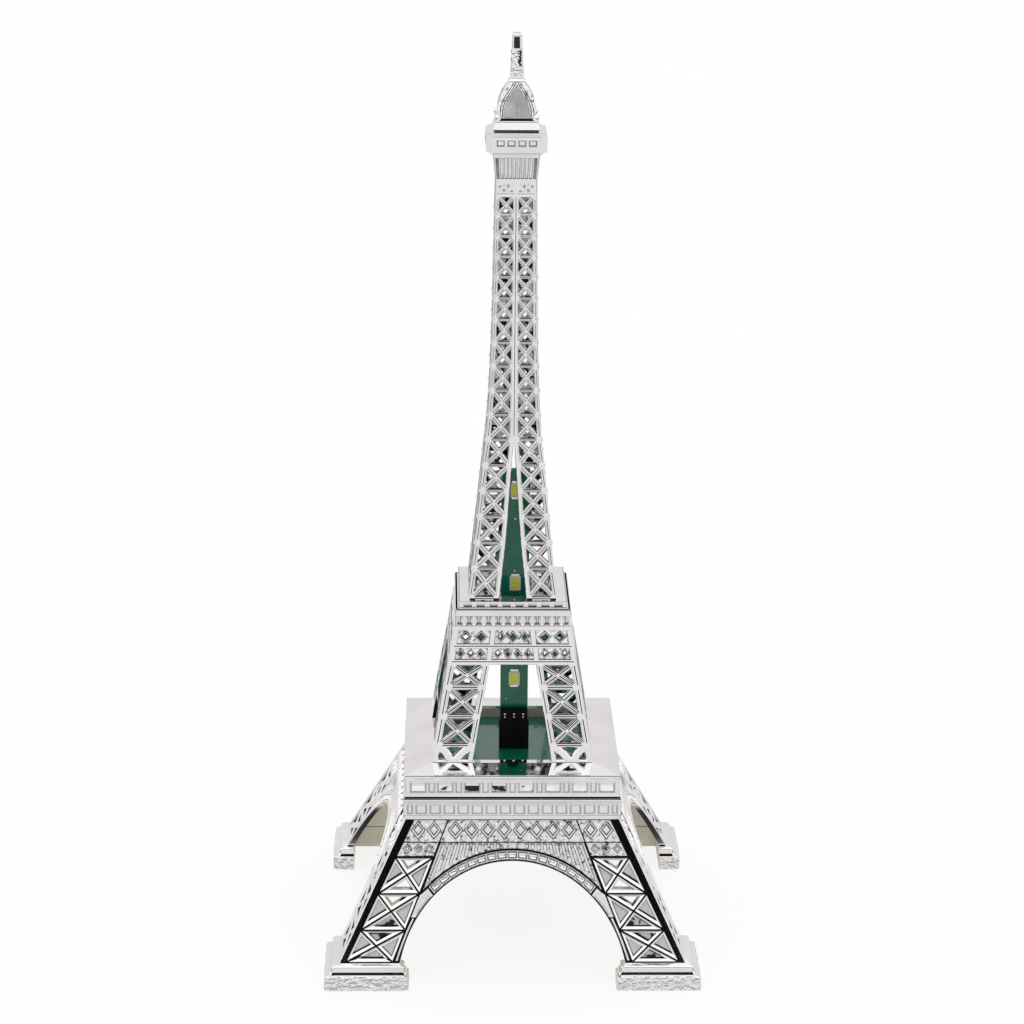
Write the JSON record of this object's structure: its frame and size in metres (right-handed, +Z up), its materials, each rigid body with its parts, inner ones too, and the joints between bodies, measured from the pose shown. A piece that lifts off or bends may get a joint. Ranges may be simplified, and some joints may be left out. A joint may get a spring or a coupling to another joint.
{
  "type": "miniature landmark model",
  "caption": "Lattice tower souvenir lamp: four flared legs with arches, two square decks, a tapering braced shaft with a domed top, and a lit circuit board inside.",
  "frame": {"origin": "centre of the square footprint, on the table plane under the feet", "axes": "+Z up along the mast, -Y towards the front, +X to the right seen from the front"},
  "size_m": [0.1016, 0.1016, 0.2497],
  "materials": {
    "plated_plastic": "vacuum-plated bright silver, unplated cream plastic inside",
    "circuit_board": "green solder mask",
    "led_body": "white LED package with yellow phosphor window",
    "chip_black": "satin epoxy",
    "connector_black": "satin",
    "tinned_metal": "tin plated",
    "capacitor_can": "bare can",
    "inner_plastic": "unplated cream plastic",
    "zinc_steel": "zinc plated",
    "cell_jacket": "printed sleeve",
    "lead_red": "PVC",
    "lead_black": "PVC",
    "switch_shell": "stamped shell",
    "switch_knob": "satin"
  },
  "bodies": {
    "tower": {"base_panel_front": "plated_plastic", "base_panel_right": "plated_plastic", "base_panel_back": "plated_plastic", "base_panel_left": "plated_plastic", "foot_front_right": "plated_plastic", "foot_back_right": "plated_plastic", "foot_back_left": "plated_plastic", "foot_front_left": "plated_plastic", "first_floor_deck": "plated_plastic", "mid_panel_front": "plated_plastic", "mid_panel_right": "plated_plastic", "mid_panel_back": "plated_plastic", "mid_panel_left": "plated_plastic", "second_floor_deck": "plated_plastic", "shaft_panel_front": "plated_plastic", "shaft_panel_right": "plated_plastic", "shaft_panel_back": "plated_plastic", "shaft_panel_left": "plated_plastic", "top_platform": "plated_plastic", "top_cabin": "plated_plastic", "dome": "plated_plastic", "spire_mast": "plated_plastic", "led_strip_board": "circuit_board", "base_board": "circuit_board", "strip_leds": "led_body", "strip_resistors": "chip_black", "board_resistors": "chip_black", "controller_chip": "chip_black", "strip_header_body": "connector_black", "board_socket": "connector_black", "strip_header_pins": "tinned_metal", "chip_leads": "tinned_metal", "contact_plates": "tinned_metal", "board_capacitor": "capacitor_can", "battery_tray": "inner_plastic", "tray_screws": "zinc_steel", "door_hinge_pins": "zinc_steel", "contact_springs": "zinc_steel", "cell_front": "cell_jacket", "cell_middle": "cell_jacket", "cell_back": "cell_jacket", "lead_red": "lead_red", "lead_black": "lead_black", "slide_switch_body": "switch_shell"},
    "battery_door": {"battery_door": "inner_plastic"},
    "switch_knob": {"slide_switch_knob": "switch_knob"}
  },
  "joints": [
    {"name": "battery_door_hinge", "type": "hinge", "parent": "tower", "child": "battery_door", "pos_m": [0, 0.0192, 0.0356], "axis": [1, 0, 0], "range_deg": [0, 70]},
    {"name": "switch_slide", "type": "slide", "parent": "tower", "child": "switch_knob", "axis": [1, 0, 0], "range_m": [0, 0.002]}
  ]
}
